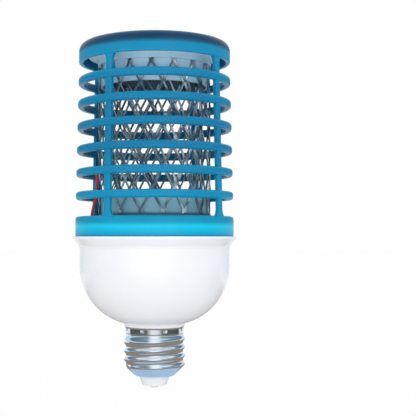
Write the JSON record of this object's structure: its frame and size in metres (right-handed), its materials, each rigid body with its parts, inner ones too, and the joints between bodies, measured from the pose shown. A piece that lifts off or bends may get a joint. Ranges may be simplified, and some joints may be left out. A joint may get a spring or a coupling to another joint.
{
  "type": "insect killer light bulb",
  "caption": "Lamp-shaped electric insect killer: screw cap, opal cup and a blue ringed cage round two expanded-metal high-voltage grids.",
  "frame": {"origin": "centre of the centre contact's end face, on the lamp's axis", "axes": "+Z along the lamp's axis from the screw cap to the cage's closed cap; -Y is the side that the picture shows"},
  "size_m": [0.0698, 0.0698, 0.1472],
  "materials": {
    "plated_brass": "bright nickel plate with blue and brown reflections",
    "insulator": "smooth white insulating moulding",
    "contact_brass": "tinned brass rivet",
    "opal_plastic": "smooth opal white moulding",
    "blue_plastic": "translucent blue moulding, glossy",
    "grid_metal": "plated expanded metal",
    "holder_plastic": "pale blue-grey moulding",
    "screw_steel": "zinc-plated steel",
    "board_laminate": "paper-phenolic laminate",
    "film_yellow": "dipped film capacitor",
    "can_sleeve": "sleeved can",
    "epoxy_black": "moulded epoxy",
    "disc_blue": "dipped ceramic",
    "resistor_grey": "coated resistor",
    "board_white": "white-faced metal-core board",
    "led_white": "white packages",
    "wire_white": "insulated wire",
    "wire_red": "red insulated wire",
    "wire_black": "black insulated wire",
    "wire_brown": "brown insulated wire",
    "wire_blue": "blue insulated wire"
  },
  "bodies": {
    "root": {"screw_shell": "plated_brass", "base_insulator": "insulator", "centre_contact": "contact_brass", "housing_cup": "opal_plastic", "cage": "blue_plastic", "outer_grid": "grid_metal", "inner_grid": "grid_metal", "lower_grid_holder": "holder_plastic", "upper_grid_holder": "holder_plastic", "holder_screws": "screw_steel", "board_screws": "screw_steel", "driver_board": "board_laminate", "dropper_capacitor": "film_yellow", "smoothing_capacitor": "can_sleeve", "bridge_rectifier": "epoxy_black", "multiplier_diodes": "epoxy_black", "multiplier_capacitors": "disc_blue", "fusible_resistor": "resistor_grey", "bleed_resistors": "epoxy_black", "led_board": "board_white", "uv_leds": "led_white", "led_leads": "wire_white", "outer_grid_lead": "wire_red", "inner_grid_lead": "wire_black", "live_wire": "wire_brown", "neutral_wire": "wire_blue"}
  },
  "joints": []
}
